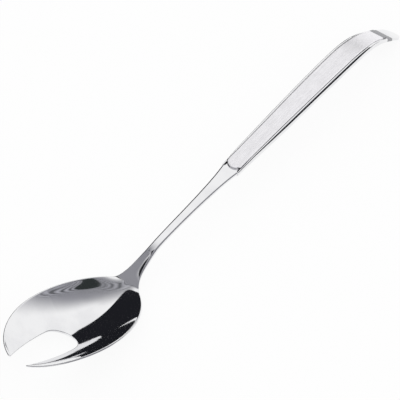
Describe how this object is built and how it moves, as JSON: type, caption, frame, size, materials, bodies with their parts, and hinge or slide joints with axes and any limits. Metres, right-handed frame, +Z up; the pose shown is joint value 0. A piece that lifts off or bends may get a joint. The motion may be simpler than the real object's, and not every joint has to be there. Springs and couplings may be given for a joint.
{
  "type": "slotted salad spoon",
  "caption": "Salad serving spoon with an oval polished bowl notched between tines, a slim neck and a hollow steel handle with a satin cover and a downturned tip.",
  "frame": {"origin": "on the table, under the middle of the spoon's bounding box", "axes": "+X along the spoon from the tines to the handle's tip, +Y across it, +Z up from the table it lies on, bowl open upwards"},
  "size_m": [0.3156, 0.0508, 0.0237],
  "materials": {
    "polished_steel": "mirror polished stainless steel",
    "satin_steel": "fine satin stainless steel",
    "cement": "rough hard cement"
  },
  "bodies": {
    "root": {"spoon_blade": "polished_steel", "handle_lower_shell": "polished_steel", "handle_cover": "satin_steel", "handle_end_cap": "polished_steel", "tang_cement": "cement"}
  },
  "joints": []
}
